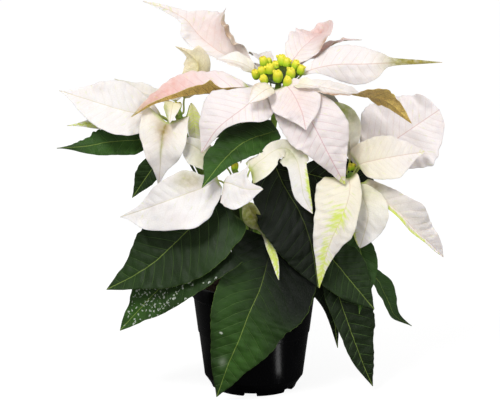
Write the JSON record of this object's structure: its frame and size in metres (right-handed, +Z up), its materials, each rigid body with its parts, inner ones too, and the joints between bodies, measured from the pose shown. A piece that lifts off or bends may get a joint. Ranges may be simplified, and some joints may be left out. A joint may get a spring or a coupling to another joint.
{
  "type": "potted poinsettia",
  "caption": "White poinsettia with broad pointed bracts, dark green leaves and lime flower buds, growing in a round black plastic nursery pot.",
  "frame": {"origin": "middle of the pot's underside, on the flat disc in its centre", "axes": "+Z up through the pot, -Y towards the front of the plant, +X to its right"},
  "size_m": [0.3956, 0.2545, 0.4047],
  "materials": {
    "white_bract": "satin, finely veined",
    "green_leaf": "satin, veined",
    "green_stem": "smooth green bark",
    "flower_bud": "waxy",
    "black_plastic": "glossy",
    "potting_soil": "rough crumbs"
  },
  "bodies": {
    "root": {"pot": "black_plastic", "soil": "potting_soil", "stems": "green_stem", "top_flower": "flower_bud", "top_bract_left_high": "white_bract", "top_bract_left_small": "white_bract", "top_bract_back_left": "white_bract", "top_bract_back": "white_bract", "top_bract_right_high": "white_bract", "top_bract_right_back": "white_bract", "top_bract_right": "white_bract", "top_bract_right_front": "white_bract", "top_bract_front_inner": "white_bract", "top_bract_front_right": "white_bract", "top_bract_front_small": "white_bract", "top_bract_front_left": "white_bract", "top_bract_front_left_small": "white_bract", "top_bract_left": "white_bract", "left_bract_far": "white_bract", "left_bract_front": "white_bract", "left_bract_beak": "white_bract", "left_bract_inner": "white_bract", "left_bract_high": "white_bract", "left_bract_back_far": "white_bract", "left_bract_back": "white_bract", "left_bract_low": "white_bract", "front_bract_left": "white_bract", "front_bract_upper_left": "white_bract", "front_bract_trumpet": "white_bract", "front_bract_low": "white_bract", "front_bract_arch": "white_bract", "right_bract_back": "white_bract", "right_bract_mid": "white_bract", "right_bract_low": "white_bract", "right_bract_front": "white_bract", "right_bract_front_low": "white_bract", "right_bract_high": "white_bract", "right_bract_back_low": "white_bract", "back_bract_middle": "white_bract", "back_bract_left": "white_bract", "back_bract_right": "white_bract", "back_bract_low": "white_bract", "leaf_upper_front": "green_leaf", "leaf_upper_left": "green_leaf", "leaf_left_high": "green_leaf", "leaf_left_behind": "green_leaf", "leaf_left_front": "green_leaf", "leaf_left_low": "green_leaf", "leaf_front_large": "green_leaf", "leaf_centre": "green_leaf", "leaf_right_front": "green_leaf", "leaf_right_low": "green_leaf", "leaf_right_narrow": "green_leaf", "leaf_right_behind": "green_leaf", "leaf_right_high": "green_leaf", "leaf_front_right": "green_leaf", "leaf_back_left": "green_leaf", "leaf_back_right": "green_leaf", "leaf_back": "green_leaf", "leaf_back_side": "green_leaf"}
  },
  "joints": []
}
